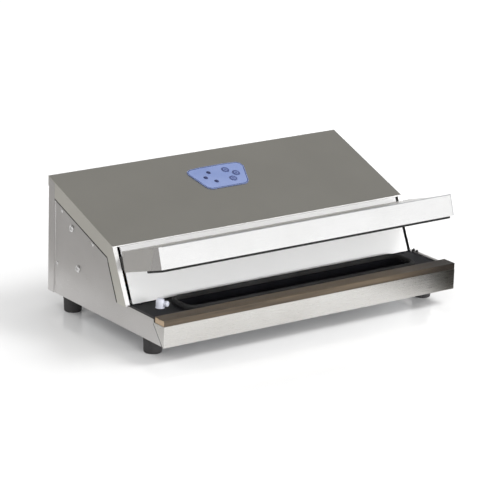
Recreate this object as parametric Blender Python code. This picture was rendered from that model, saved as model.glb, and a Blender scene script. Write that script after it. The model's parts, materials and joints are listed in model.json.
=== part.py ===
"""Countertop vacuum sealer: a folded steel case with a hinged, sprung lid held open over a seal bar.

Metres, +Z up, front towards -Y. The origin is on the table under the middle of the machine.
Every piece is built in a frame of its own (an empty), where y is depth from the front and z is height:
the case frame, the lid frame (on the lid's hinge axis) and the slope frame (on the hood's sloping top).
"""

import math

import bmesh
import bpy
from mathutils import Matrix, Vector

# ---------------------------------------------------------------- driving dimensions
WIDTH = 0.450  # over the folded steel skins
DEPTH = 0.2627  # front face to the hood's rear flange
REAR_PROUD = 0.0025  # the inlet's bezel behind the case
FOOT_HEIGHT = 0.020
SHEET = 0.001
GAP = 0.0003  # between pieces that touch
HALF = WIDTH / 2
FRONT = -(DEPTH + REAR_PROUD) / 2

# Case profile, as (depth, height)
LEDGE = (0.0832, 0.0500)  # foot of the slanted face
HOOD_EDGE = (0.1147, 0.1165)  # top of the slanted face
BACK_TOP = (0.2627, 0.1699)
FLANGE_DROP = 0.0205  # height of the hood's side flange below the slope
FLANGE_FRONT = 0.0200  # depth of that flange behind the slanted face
CASE_BOTTOM = FOOT_HEIGHT
BASE_TOP = 0.0466  # top of the front panel, under the seal bar
SIDE_OUT = HALF - SHEET - GAP  # outer face of the side panels, under the skins
SIDE_IN = SIDE_OUT - 0.0011
SLOT_IN, SLOT_OUT = 0.2147, 0.2190  # the arm slots beside the slanted panel

# Seal bar and tray
BAR_DEPTH = 0.0204
BAR_TOP = 0.0544
COVER = 0.0004  # glass-cloth cover of the bar
TRAY_TOP = 0.0490
LOOP_LEFT, LOOP_RIGHT = -0.170, 0.190  # both gaskets, outside
LOOP_FRONT, LOOP_BACK = 0.0265, 0.0775
LOOP_WIDTH = 0.0065
LOOP_CORNER = 0.018

# Lid, in its own frame: y back along its underside, z up from it
PIVOT = (0.1932, 0.0662)
SPRING_BOLT = (0.2088, 0.1146)
LID_TRAVEL = math.radians(17.6)  # open at rest, down to closed
LID_CLOSED_DEPTH = 0.0008
LID_CLOSED_HEIGHT = 0.0577
LID_LENGTH = 0.085
LID_HEIGHT = 0.0273
SEAL_DROP = 0.0030  # gasket and pressure strip below the lid's underside
PLATE_LOW, PLATE_HIGH = 0.0030, 0.0042
ARM_IN, ARM_OUT = 0.2153, 0.2183
BOLT_HEAD_OUT = 0.2262

# Control label, in the slope frame: x, distance up the slope, height off it
LABEL = (
    (-0.0262, 0.0760),
    (-0.0310, 0.0785),
    (-0.0335, 0.0825),
    (-0.0415, 0.1120),
    (-0.0405, 0.1175),
    (-0.0345, 0.1215),
    (-0.0180, 0.1230),
    (0.0220, 0.1235),
    (0.0400, 0.1222),
    (0.0445, 0.1185),
    (0.0456, 0.1120),
    (0.0335, 0.0820),
    (0.0300, 0.0780),
    (0.0255, 0.0762),
)
LED_SPOTS = ((-0.0116, 0.1098), (-0.0221, 0.1003), (-0.0116, 0.0902))
BUTTON_SPOTS = ((0.0148, 0.1098), (0.0256, 0.1003), (0.0148, 0.0902))
BUTTON_RADIUS = 0.0050
BOARD_TOP = -0.0129

# Power entry on the rear panel
INLET_AT = (-0.1500, 0.0560)
SWITCH_AT = (-0.1050, 0.0560)
REAR_FACE = DEPTH - SHEET - GAP
ROCKER_AXIS = 0.2575
ROCKER_TILT = 8.0  # half of its travel in degrees, one end pressed in at rest

COLOURS = {
    "hood_steel": ((0.21, 0.205, 0.18), 0.38, 1.0),
    "case_steel": ((0.62, 0.61, 0.60), 0.30, 1.0),
    "bright_steel": ((0.80, 0.80, 0.80), 0.22, 1.0),
    "zinc_steel": ((0.55, 0.56, 0.58), 0.40, 1.0),
    "phenolic": ((0.32, 0.22, 0.14), 0.55, 0.0),
    "glass_cloth": ((0.12, 0.075, 0.04), 0.50, 0.0),
    "nichrome": ((0.40, 0.38, 0.36), 0.35, 1.0),
    "black_plastic": ((0.015, 0.015, 0.018), 0.42, 0.0),
    "black_foam": ((0.012, 0.012, 0.013), 0.85, 0.0),
    "silicone": ((0.014, 0.014, 0.014), 0.60, 0.0),
    "white_plastic": ((0.80, 0.82, 0.90), 0.35, 0.0),
    "rubber": ((0.03, 0.028, 0.029), 0.80, 0.0),
    "blue_film": ((0.22, 0.34, 0.72), 0.45, 0.0),
    "dark_lens": ((0.03, 0.04, 0.10), 0.25, 0.0),
    "green_board": ((0.02, 0.16, 0.07), 0.45, 0.0),
    "core_steel": ((0.20, 0.20, 0.21), 0.55, 1.0),
    "copper": ((0.60, 0.28, 0.12), 0.40, 1.0),
    "grey_alloy": ((0.45, 0.46, 0.47), 0.45, 1.0),
    "clear_hose": ((0.70, 0.72, 0.72), 0.40, 0.0),
}


# ---------------------------------------------------------------- scene and helpers
for old in list(bpy.data.objects):
    bpy.data.objects.remove(old, do_unlink=True)

parts = bpy.data.collections.new("vacuum_sealer")
cutters = bpy.data.collections.new("cutters")
for group in (parts, cutters):
    bpy.context.scene.collection.children.link(group)


def add_frame(name, location, tilt=0.0):
    """An empty whose children are placed by it."""
    empty = bpy.data.objects.new(name, None)
    parts.objects.link(empty)
    empty.location = location
    empty.rotation_euler.x = tilt
    return empty


SLOPE_TILT = math.atan2(BACK_TOP[1] - HOOD_EDGE[1], BACK_TOP[0] - HOOD_EDGE[0])
case_frame = add_frame("case_frame", (0, FRONT, 0))
lid_frame = add_frame("lid_frame", (0, FRONT + PIVOT[0], PIVOT[1]), -LID_TRAVEL)
slope_frame = add_frame("slope_frame", (0, FRONT + HOOD_EDGE[0], HOOD_EDGE[1]), SLOPE_TILT)
LID_OFFSET = Vector((0, LID_CLOSED_DEPTH - PIVOT[0], LID_CLOSED_HEIGHT - PIVOT[1]))
PIVOT_IN_LID = (-LID_OFFSET.y, -LID_OFFSET.z)


def add_solid(mesh, frame):
    """A helper solid in the cutters' collection, until finish() makes it a part."""
    solid = bpy.data.objects.new("helper", mesh)
    cutters.objects.link(solid)
    solid.hide_render = True
    solid.display_type = "WIRE"
    solid.parent = frame or case_frame
    if solid.parent == lid_frame:
        solid.matrix_parent_inverse = Matrix.Translation(LID_OFFSET)
    return solid


def mesh_of(shape):
    mesh = bpy.data.meshes.new("mesh")
    shape.to_mesh(mesh)
    shape.free()
    return mesh


def box(low, high, frame=None):
    """A box between two corners."""
    low, high = Vector(low), Vector(high)
    shape = bmesh.new()
    bmesh.ops.create_cube(shape, size=1.0)
    bmesh.ops.scale(shape, vec=high - low, verts=shape.verts)
    bmesh.ops.translate(shape, vec=(low + high) / 2, verts=shape.verts)
    return add_solid(mesh_of(shape), frame)


def cylinder(start, end, radius, sides=24, frame=None, end_radius=None):
    """A cylinder or cone between two points."""
    start, end = Vector(start), Vector(end)
    along = end - start
    shape = bmesh.new()
    bmesh.ops.create_cone(
        shape,
        cap_ends=True,
        segments=sides,
        radius1=radius,
        radius2=radius if end_radius is None else end_radius,
        depth=along.length,
    )
    turn = Vector((0, 0, 1)).rotation_difference(along).to_matrix()
    bmesh.ops.rotate(shape, matrix=turn, verts=shape.verts)
    bmesh.ops.translate(shape, vec=(start + end) / 2, verts=shape.verts)
    return add_solid(mesh_of(shape), frame)


def baked(curve_object):
    """The closed mesh of a curve object, in the same place."""
    bpy.context.scene.collection.objects.link(curve_object)
    bpy.context.view_layer.update()
    graph = bpy.context.evaluated_depsgraph_get()
    mesh = bpy.data.meshes.new_from_object(curve_object.evaluated_get(graph))
    mesh.transform(curve_object.matrix_world)
    bpy.data.objects.remove(curve_object, do_unlink=True)
    shape = bmesh.new()
    shape.from_mesh(mesh)
    bmesh.ops.remove_doubles(shape, verts=shape.verts, dist=1e-7)
    bmesh.ops.recalc_face_normals(shape, faces=shape.faces)
    return mesh_of(shape)


def plate(outline, low, high, across="x", frame=None):
    """A flat outline given a thickness: (depth, height) points across x, or (x, depth) points across z."""
    curve = bpy.data.curves.new("outline", "CURVE")
    curve.dimensions = "2D"
    curve.fill_mode = "BOTH"
    curve.extrude = (high - low) / 2
    spline = curve.splines.new("POLY")
    spline.points.add(len(outline) - 1)
    spline.use_cyclic_u = True
    for point, (first, second) in zip(spline.points, outline):
        point.co = (first, second, 0, 1)
    flat = bpy.data.objects.new("outline", curve)
    flat.matrix_world = Matrix.Translation((0, 0, (low + high) / 2))
    if across == "x":
        turn = Matrix(((0, 0, 1, 0), (1, 0, 0, 0), (0, 1, 0, 0), (0, 0, 0, 1)))
        flat.matrix_world = turn @ flat.matrix_world
    return add_solid(baked(flat), frame)


def tube(points, radius, frame=None):
    """A round tube along a smooth curve through a few points."""
    curve = bpy.data.curves.new("tube", "CURVE")
    curve.dimensions = "3D"
    curve.bevel_depth = radius
    curve.bevel_resolution = 2
    curve.use_fill_caps = True
    route = smooth_route([Vector(point) for point in points], steps=5)
    spline = curve.splines.new("POLY")
    spline.points.add(len(route) - 1)
    for point, place in zip(spline.points, route):
        point.co = (*place, 1)
    return add_solid(baked(bpy.data.objects.new("tube", curve)), frame)


def smooth_route(points, steps):
    """Catmull-Rom points through the given ones."""
    ends = [2 * points[0] - points[1], *points, 2 * points[-1] - points[-2]]
    route = []
    for a, b, c, d in zip(ends, ends[1:], ends[2:], ends[3:]):
        for step in range(steps):
            t = step / steps
            bend = (2 * a - 5 * b + 4 * c - d) * t * t + (3 * b - a - 3 * c + d) * t**3
            route.append((2 * b + (c - a) * t + bend) / 2)
    return [*route, points[-1]]


def folded(path, thickness):
    """The closed outline of a sheet whose outer face follows a path and whose metal lies to its right."""
    points = [Vector(point) for point in path]
    sides = []
    for a, b in zip(points, points[1:]):
        along = (b - a).normalized()
        sides.append(Vector((along.y, -along.x)))
    inner = [points[0] + sides[0] * thickness]
    for point, before, after in zip(points[1:], sides, sides[1:]):
        inner.append(point + (before + after) * thickness / (1 + before.dot(after)))
    inner.append(points[-1] + sides[-1] * thickness)
    return [tuple(point) for point in (*points, *reversed(inner))]


def rounded(left, right, front, back, corner, steps=6):
    """A rectangle with round corners."""
    centres = (
        (right - corner, back - corner),
        (left + corner, back - corner),
        (left + corner, front + corner),
        (right - corner, front + corner),
    )
    outline = []
    for quarter, (x, y) in enumerate(centres):
        for step in range(steps + 1):
            angle = math.pi / 2 * (quarter + step / steps)
            outline.append((x + corner * math.cos(angle), y + corner * math.sin(angle)))
    return outline


def boolean(piece, operation, others):
    for other in others:
        step = piece.modifiers.new(operation.lower(), "BOOLEAN")
        step.operation = operation
        step.solver = "EXACT"
        step.object = other
    return piece


def cut(piece, *others):
    return boolean(piece, "DIFFERENCE", others)


def join(piece, *others):
    return boolean(piece, "UNION", others)


def material(colour):
    if colour in bpy.data.materials:
        return bpy.data.materials[colour]
    paint = bpy.data.materials.new(colour)
    paint.use_nodes = True
    base, roughness, metallic = COLOURS[colour]
    shader = paint.node_tree.nodes["Principled BSDF"]
    shader.inputs["Base Color"].default_value = (*base, 1)
    shader.inputs["Roughness"].default_value = roughness
    shader.inputs["Metallic"].default_value = metallic
    return paint


def finish(piece, name, colour):
    """Make a helper solid a named part with its material."""
    piece.name = name
    piece.data.materials.append(material(colour))
    piece.data.shade_smooth()
    piece.data.set_sharp_from_angle(angle=math.radians(35))
    cutters.objects.unlink(piece)
    parts.objects.link(piece)
    piece.hide_render = False
    piece.display_type = "TEXTURED"
    return piece


def slope_height(depth):
    """Height of the hood's top at a depth."""
    return HOOD_EDGE[1] + (depth - HOOD_EDGE[0]) * math.tan(SLOPE_TILT)


def slant_depth(height):
    """Depth of the slanted face at a height."""
    lean = (HOOD_EDGE[0] - LEDGE[0]) / (HOOD_EDGE[1] - LEDGE[1])
    return LEDGE[0] + (height - LEDGE[1]) * lean


def both_sides(low, high):
    """The same span on the left and on the right, as (name, sign, low x, high x)."""
    return (("left", -1, -high, -low), ("right", 1, low, high))


# ---------------------------------------------------------------- case
FLANGE_IN = 0.0120  # width of the folded bottom flanges
SIDE_FLANGE_AT = SIDE_IN - FLANGE_IN


def make_base_plate():
    low, high = CASE_BOTTOM + SHEET + GAP, CASE_BOTTOM + SHEET + GAP + 0.0012
    floor = box((-SIDE_IN + 0.0004, 0.0016, low), (SIDE_IN - 0.0004, 0.2590, high))
    for row in range(6):
        x = 0.030 + row * 0.012
        cut(floor, box((x, 0.180, low - 0.01), (x + 0.004, 0.220, high + 0.01)))
    finish(floor, "base_plate", "zinc_steel")


def make_front_panel():
    depth = 0.0235
    skin = box((-HALF, 0, CASE_BOTTOM), (HALF, depth, BASE_TOP))
    cut(skin, box((-HALF + SHEET, SHEET, CASE_BOTTOM + SHEET), (HALF - SHEET, 0.03, BASE_TOP - SHEET)))
    cut(skin, box((-HALF + SHEET, 0.013, 0.01), (HALF - SHEET, 0.03, CASE_BOTTOM + 0.002)))
    lip = BASE_TOP - SHEET
    behind = ((0.0025, 0.010), (0.0025, 0.0205), (0.0230, lip), (0.04, lip), (0.04, 0.010))
    for _, sign, low, high in both_sides(SIDE_FLANGE_AT - GAP, HALF - SHEET):
        outer = sorted((sign * (HALF - SHEET - 0.0001), sign * (HALF + 0.002)))
        cut(skin, plate(behind, *outer))
        cut(skin, box((low, SHEET, 0.01), (high, 0.03, CASE_BOTTOM + 0.002)))
    finish(skin, "front_panel", "case_steel")


def side_outline():
    """The side panel, inside the skins of the front panel, hood and rear panel."""
    inset = 0.0018
    roof = 0.0017
    corner = 0.1160
    return (
        (0.0013, CASE_BOTTOM),
        (0.2598, CASE_BOTTOM),
        (0.2598, slope_height(0.2598) - roof),
        (corner, slope_height(corner) - roof),
        (slant_depth(0.0474) + inset, 0.0474),
        (0.0815, 0.0474),
        (0.0815, LEDGE[1]),
        (0.0240, LEDGE[1]),
        (0.0240, BASE_TOP - SHEET - GAP),
        (0.0013, BASE_TOP - SHEET - GAP),
    )


def make_side_panels():
    for name, sign, low, high in both_sides(SIDE_IN, SIDE_OUT):
        panel = plate(side_outline(), low, high)
        inside = SIDE_IN + 0.0005
        foot_low, foot_high = sorted((sign * SIDE_FLANGE_AT, sign * inside))
        join(panel, box((foot_low, 0.0016, CASE_BOTTOM), (foot_high, 0.2592, CASE_BOTTOM + SHEET)))
        lip_low, lip_high = sorted((sign * 0.2190, sign * inside))
        join(panel, box((lip_low, 0.0246, LEDGE[1] - SHEET), (lip_high, 0.0810, LEDGE[1])))
        for (depth, height), radius in ((PIVOT, 0.0043), (SPRING_BOLT, 0.0033)):
            hole = cylinder((sign * 0.21, depth, height), (sign * 0.23, depth, height), radius, 16)
            cut(panel, hole)
        finish(panel, f"side_panel_{name}", "case_steel")


def make_rear_panel():
    wrap = 0.0148
    start = DEPTH - wrap
    skin = box((-HALF, start, CASE_BOTTOM), (HALF, REAR_FACE, BACK_TOP[1]))
    cut(skin, box((-HALF + SHEET, 0.24, CASE_BOTTOM + SHEET), (HALF - SHEET, REAR_FACE - SHEET, 0.2)))
    near, far = slope_height(0.24) - 0.0017, slope_height(0.27) - 0.0017
    cut(skin, plate(((0.24, near), (0.27, far), (0.27, 0.20), (0.24, 0.20)), -0.23, 0.23))
    for _, _, low, high in both_sides(SIDE_FLANGE_AT - GAP, HALF - SHEET):
        cut(skin, box((low, 0.24, 0.01), (high, REAR_FACE - SHEET, CASE_BOTTOM + 0.002)))
    for bank in (-0.045, 0.075):
        for slot in range(8):
            x = bank + slot * 0.010
            cut(skin, box((x, 0.25, 0.075), (x + 0.004, 0.27, 0.115)))
    x, height = INLET_AT
    cut(skin, box((x - 0.0138, 0.25, height - 0.0102), (x + 0.0138, 0.27, height + 0.0102)))
    x, height = SWITCH_AT
    cut(skin, box((x - 0.0062, 0.25, height - 0.0099), (x + 0.0062, 0.27, height + 0.0099)))
    finish(skin, "rear_panel", "case_steel")


def make_hood():
    bottom = 0.0480
    outer = ((slant_depth(bottom), bottom), HOOD_EDGE, BACK_TOP, (DEPTH, bottom))
    hood = plate(outer, -HALF, HALF)
    roof = SHEET / math.cos(SLOPE_TILT)
    inner_front = slant_depth(0.03) + 0.0011
    inner_top = HOOD_EDGE[0] + 0.0008
    inner = (
        (inner_front, 0.03),
        (inner_top, slope_height(inner_top) - roof),
        (DEPTH - SHEET, slope_height(DEPTH - SHEET) - roof),
        (DEPTH - SHEET, 0.03),
    )
    cut(hood, plate(inner, -HALF + SHEET, HALF - SHEET))
    cut(hood, box((-SLOT_OUT, 0.06, 0.03), (SLOT_OUT, 0.125, HOOD_EDGE[1] - roof - 0.0001)))
    rear = DEPTH - 0.0150
    below = (
        (slant_depth(0.03) + FLANGE_FRONT, 0.03),
        (0.1232, 0.0947),
        (0.1258, 0.1004),
        (rear, slope_height(rear) - FLANGE_DROP),
        (rear, slope_height(rear) - 0.0014),
        (DEPTH - 0.0012, slope_height(DEPTH - 0.0012) - 0.0014),
        (DEPTH - 0.0012, 0.03),
    )
    cut(hood, plate(below, -0.23, 0.23))
    cut(hood, box((-0.23, 0.25, 0.03), (0.23, 0.27, BACK_TOP[1] - 0.0130)))
    for x, along in (*BUTTON_SPOTS, *LED_SPOTS):
        cut(hood, cylinder((x, along, -0.003), (x, along, 0.003), 0.0021, 12, slope_frame))
    finish(hood, "hood_cover", "hood_steel")


def make_slanted_panel():
    thickness = 0.0012
    top = 0.1147
    lip = 0.012
    back = (math.cos(SLOPE_TILT) * lip, math.sin(SLOPE_TILT) * lip)
    path = (
        (slant_depth(LEDGE[1]) + lip, LEDGE[1]),
        (slant_depth(LEDGE[1]), LEDGE[1]),
        (slant_depth(top), top),
        (slant_depth(top) + back[0], top + back[1]),
    )
    finish(plate(folded(path, thickness), -SLOT_IN, SLOT_IN), "slanted_panel", "bright_steel")


def make_feet():
    for name, x, depth in (
        ("front_left", -0.210, 0.045),
        ("front_right", 0.210, 0.045),
        ("rear_left", -0.210, 0.226),
        ("rear_right", 0.210, 0.226),
    ):
        foot = cylinder((x, depth, 0), (x, depth, FOOT_HEIGHT - GAP), 0.0115, 24, end_radius=0.0125)
        cut(foot, cylinder((x, depth, -0.001), (x, depth, 0.010), 0.0045, 12))
        finish(foot, f"foot_{name}", "rubber")


# ---------------------------------------------------------------- seal bar and vacuum tray
def make_seal_bar():
    low = BASE_TOP + GAP
    inner = COVER + GAP
    holder = box((-HALF + 0.0004, inner, low), (HALF - 0.0004, BAR_DEPTH - inner, BAR_TOP - inner))
    groove = (0.0075, 0.0129)
    cut(holder, box((-0.23, groove[0], BAR_TOP - inner - 0.0006), (0.23, groove[1], BAR_TOP)))
    finish(holder, "seal_bar_holder", "phenolic")
    ribbon_low = BAR_TOP - inner - GAP
    ribbon = box((-0.218, groove[0] + GAP, ribbon_low), (0.218, groove[1] - GAP, BAR_TOP - inner + 0.0001))
    finish(ribbon, "heating_ribbon", "nichrome")
    path = ((0, low), (0, BAR_TOP), (BAR_DEPTH, BAR_TOP), (BAR_DEPTH, low))
    finish(plate(folded(path, COVER), -HALF + 0.0004, HALF - 0.0004), "seal_bar_cover", "glass_cloth")


TRAY_HALF = 0.2186
TRAY_WALL = 0.0022
CHANNEL = (LOOP_LEFT + 0.010, LOOP_RIGHT - 0.010, 0.0355, 0.0685)
CHANNEL_FLOOR = 0.0405
PORT_AT = (0.150, 0.052)
NOZZLE_AT = (-0.1920, 0.0575)


def make_tray():
    left, right, front, back = CHANNEL
    tray = box((-TRAY_HALF, BAR_DEPTH + GAP, BASE_TOP + GAP), (TRAY_HALF, 0.0900, TRAY_TOP))
    wall = TRAY_WALL
    under = (left - wall, front - wall, CHANNEL_FLOOR - wall)
    join(tray, box(under, (right + wall, back + wall, BASE_TOP + 0.001)))
    channel = rounded(left, right, front, back, 0.012)
    cut(tray, plate(channel, CHANNEL_FLOOR, TRAY_TOP + 0.01, "z"))
    for x, depth in (PORT_AT, NOZZLE_AT):
        cut(tray, cylinder((x, depth, 0.03), (x, depth, 0.06), 0.0046, 16))
    finish(tray, "vacuum_tray", "black_plastic")


def gasket_loop(low, high, shift=0.0, frame=None):
    """A flat-bottomed loop of foam with round corners."""
    outer = rounded(LOOP_LEFT, LOOP_RIGHT, LOOP_FRONT - shift, LOOP_BACK - shift, LOOP_CORNER)
    inset = LOOP_WIDTH
    inner = rounded(
        LOOP_LEFT + inset,
        LOOP_RIGHT - inset,
        LOOP_FRONT + inset - shift,
        LOOP_BACK - inset - shift,
        LOOP_CORNER - inset,
    )
    return cut(plate(outer, low, high, "z", frame), plate(inner, low - 0.01, high + 0.01, "z", frame))


STUB_HEIGHT = 0.0322  # both hose stubs under the tray
STUB_REACH = 0.0160


def make_fittings():
    stub, bore = 0.0030, 0.0017
    x, depth = PORT_AT
    fitting = cylinder((x, depth, 0.0290), (x, depth, CHANNEL_FLOOR + 0.0010), 0.0042, 16)
    join(fitting, cylinder((x, depth, CHANNEL_FLOOR + GAP), (x, depth, CHANNEL_FLOOR + 0.0018), 0.0072, 24))
    middle = Vector((x, depth, STUB_HEIGHT))
    join(fitting, cylinder(middle, middle + Vector((0, STUB_REACH, 0)), stub, 16))
    cut(fitting, cylinder((x, depth, 0.0345), (x, depth, 0.05), bore, 12))
    cut(fitting, cylinder(middle + Vector((0, 0.006, 0)), middle + Vector((0, 0.02, 0)), bore, 12))
    finish(fitting, "suction_fitting", "white_plastic")

    x, depth = NOZZLE_AT
    elbow = cylinder((x, depth, TRAY_TOP + GAP), (x, depth, TRAY_TOP + 0.0098), 0.0055, 24)
    crown = (x, depth, TRAY_TOP + 0.0126)
    join(elbow, cylinder((x, depth, TRAY_TOP + 0.0097), crown, 0.0055, 24, end_radius=0.0034))
    join(elbow, cylinder((x, depth, 0.0290), (x, depth, TRAY_TOP + 0.002), 0.0042, 16))
    reach = Vector((0.60, -0.80, 0)) * 0.0105
    outlet = Vector((x, depth, TRAY_TOP + 0.0062))
    join(elbow, cylinder(outlet, outlet + reach, 0.0036, 16))
    middle = Vector((x, depth, STUB_HEIGHT))
    join(elbow, cylinder(middle, middle + Vector((0, STUB_REACH, 0)), stub, 16))
    cut(elbow, cylinder(outlet + reach * 0.3, outlet + reach * 1.1, bore, 12))
    cut(elbow, cylinder(middle + Vector((0, 0.006, 0)), middle + Vector((0, 0.02, 0)), bore, 12))
    finish(elbow, "hose_nozzle", "white_plastic")


# ---------------------------------------------------------------- lid
def make_lid():
    inside = HALF - SHEET - GAP
    back = LID_LENGTH
    roof = LID_HEIGHT - SHEET - GAP
    cover = box((-inside, SHEET + GAP, 0), (inside, back, roof), lid_frame)
    hollow_high = (inside - SHEET, back - SHEET, roof - SHEET)
    cut(cover, box((-inside + SHEET, -0.001, -0.01), hollow_high, lid_frame))
    for _, _, low, high in both_sides(ARM_IN - 0.0005, ARM_OUT + 0.0005):
        cut(cover, box((low, back - 0.005, -0.01), (high, back + 0.005, 0.0200), lid_frame))
    finish(cover, "lid_cover", "case_steel")

    front = box((-HALF, 0, 0), (HALF, 0.0300, LID_HEIGHT), lid_frame)
    cut(front, box((-HALF + SHEET, SHEET, -0.01), (HALF - SHEET, 0.04, LID_HEIGHT - SHEET), lid_frame))
    lip = 0.0120
    cut(front, box((-HALF + SHEET, lip, 0.02), (HALF - SHEET, 0.04, 0.04), lid_frame))
    taper = ((0.0262, -0.01), (0.0255, 0.0), (lip, LID_HEIGHT - 0.004))
    cut(front, plate((*taper, (lip, 0.04), (0.05, 0.04), (0.05, -0.01)), -0.23, 0.23, frame=lid_frame))
    finish(front, "lid_front", "bright_steel")

    plate_half = ARM_IN - 0.0010
    carrier = box((-plate_half, 0.0030, PLATE_LOW), (plate_half, back - 0.0015, PLATE_HIGH), lid_frame)
    join(carrier, box((-plate_half, 0.0030, PLATE_LOW), (plate_half, 0.0042, 0.0200), lid_frame))
    back_lip = ((-plate_half, back - 0.0027, PLATE_LOW), (plate_half, back - 0.0015, 0.0200))
    join(carrier, box(*back_lip, lid_frame))
    cut(carrier, box((-0.2000, 0.0430, -0.01), (-0.1745, 0.0680, 0.01), lid_frame))
    finish(carrier, "lid_carrier", "zinc_steel")

    gasket = gasket_loop(-SEAL_DROP, PLATE_LOW - GAP, LID_CLOSED_DEPTH, lid_frame)
    finish(gasket, "lid_gasket", "black_foam")
    strip = box((-0.2175, 0.0030, -SEAL_DROP), (0.2175, 0.0145, PLATE_LOW - GAP), lid_frame)
    finish(strip, "pressure_strip", "silicone")


def arm_outline():
    """A straight bar with a round end about the hinge axis, in the lid frame."""
    depth, height = PIVOT_IN_LID
    radius = 0.0105
    end = []
    for step in range(9):
        angle = math.radians(-90 + 180 * step / 8)
        end.append((depth + radius * math.cos(angle), height + radius * math.sin(angle)))
    return [(0.0100, 0.0190), (0.0100, 0.0048), (0.0600, 0.0048), (0.0900, 0.0030), *end, (0.1500, 0.0190)]


SPRING_ON_ARM = (0.1490, 0.0110)  # in the lid frame
SPRING_MIDDLE = 0.2105


def make_arms():
    for name, sign, low, high in both_sides(ARM_IN, ARM_OUT):
        arm = plate(arm_outline(), low, high, frame=lid_frame)
        hole = cylinder((sign * 0.21, *PIVOT_IN_LID), (sign * 0.225, *PIVOT_IN_LID), 0.00425, 24, lid_frame)
        cut(arm, hole)
        inner = (sign * 0.2066, *SPRING_ON_ARM)
        join(arm, cylinder((sign * 0.2165, *SPRING_ON_ARM), inner, 0.0020, 12, lid_frame))
        finish(arm, f"lid_arm_{name}", "zinc_steel")


def in_case(point):
    """A lid-frame (depth, height) at rest, in the case frame."""
    local = Vector((0, *point)) + LID_OFFSET
    turned_point = Matrix.Rotation(-LID_TRAVEL, 3, "X") @ local
    return (turned_point.y + PIVOT[0], turned_point.z + PIVOT[1])


def make_pivots_and_springs():
    for name, sign in (("left", -1), ("right", 1)):
        head_low = SIDE_OUT + GAP
        for label, spot, shank, inner in (
            ("pivot_bolt", PIVOT, 0.0040, 0.2080),
            ("spring_bolt", SPRING_BOLT, 0.0030, 0.2066),
        ):
            seat, crown = (sign * head_low, *spot), (sign * BOLT_HEAD_OUT, *spot)
            bolt = cylinder(seat, crown, 0.0049, 24, end_radius=0.0040)
            join(bolt, cylinder((sign * inner, *spot), (sign * (head_low + 0.001), *spot), shank, 24))
            finish(bolt, f"{label}_{name}", "bright_steel")
        spacer = cylinder((sign * (ARM_OUT + GAP), *PIVOT), (sign * (SIDE_IN - GAP), *PIVOT), 0.0070, 20)
        cut(spacer, cylinder((sign * 0.20, *PIVOT), (sign * 0.23, *PIVOT), 0.0043, 24))
        finish(spacer, f"pivot_spacer_{name}", "zinc_steel")
        nut = cylinder((sign * 0.2095, *PIVOT), (sign * (ARM_IN - GAP), *PIVOT), 0.0075, 6)
        cut(nut, cylinder((sign * 0.20, *PIVOT), (sign * 0.23, *PIVOT), 0.0043, 24))
        finish(nut, f"pivot_nut_{name}", "zinc_steel")
        low_end = Vector((sign * SPRING_MIDDLE, *in_case(SPRING_ON_ARM)))
        high_end = Vector((sign * SPRING_MIDDLE, *SPRING_BOLT))
        along = (high_end - low_end).normalized()
        spring = cylinder(low_end + along * 0.0026, high_end - along * 0.0036, 0.0035, 12)
        finish(spring, f"lid_spring_{name}", "bright_steel")


# ---------------------------------------------------------------- controls
def make_controls():
    film = plate(LABEL, GAP, 0.0008, "z", slope_frame)
    for x, along in BUTTON_SPOTS:
        cut(film, cylinder((x, along, -0.01), (x, along, 0.01), BUTTON_RADIUS + GAP, 24, slope_frame))
    for x, along in LED_SPOTS:
        cut(film, cylinder((x, along, -0.01), (x, along, 0.01), 0.0020, 16, slope_frame))
    finish(film, "control_label", "blue_film")
    for number, (x, along) in enumerate(BUTTON_SPOTS, 1):
        button = cylinder((x, along, 0.0007), (x, along, 0.0014), BUTTON_RADIUS, 24, slope_frame)
        join(button, cylinder((x, along, BOARD_TOP + 0.0009), (x, along, 0.0010), 0.0016, 12, slope_frame))
        finish(button, f"button_{number}", "blue_film")
    for number, (x, along) in enumerate(LED_SPOTS, 1):
        lamp = cylinder((x, along, BOARD_TOP + GAP), (x, along, 0.0010), 0.0016, 16, slope_frame)
        finish(lamp, f"status_led_{number}", "dark_lens")
    board = box((-0.045, 0.070, BOARD_TOP - 0.0016), (0.050, 0.132, BOARD_TOP), slope_frame)
    finish(board, "control_board", "green_board")


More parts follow.
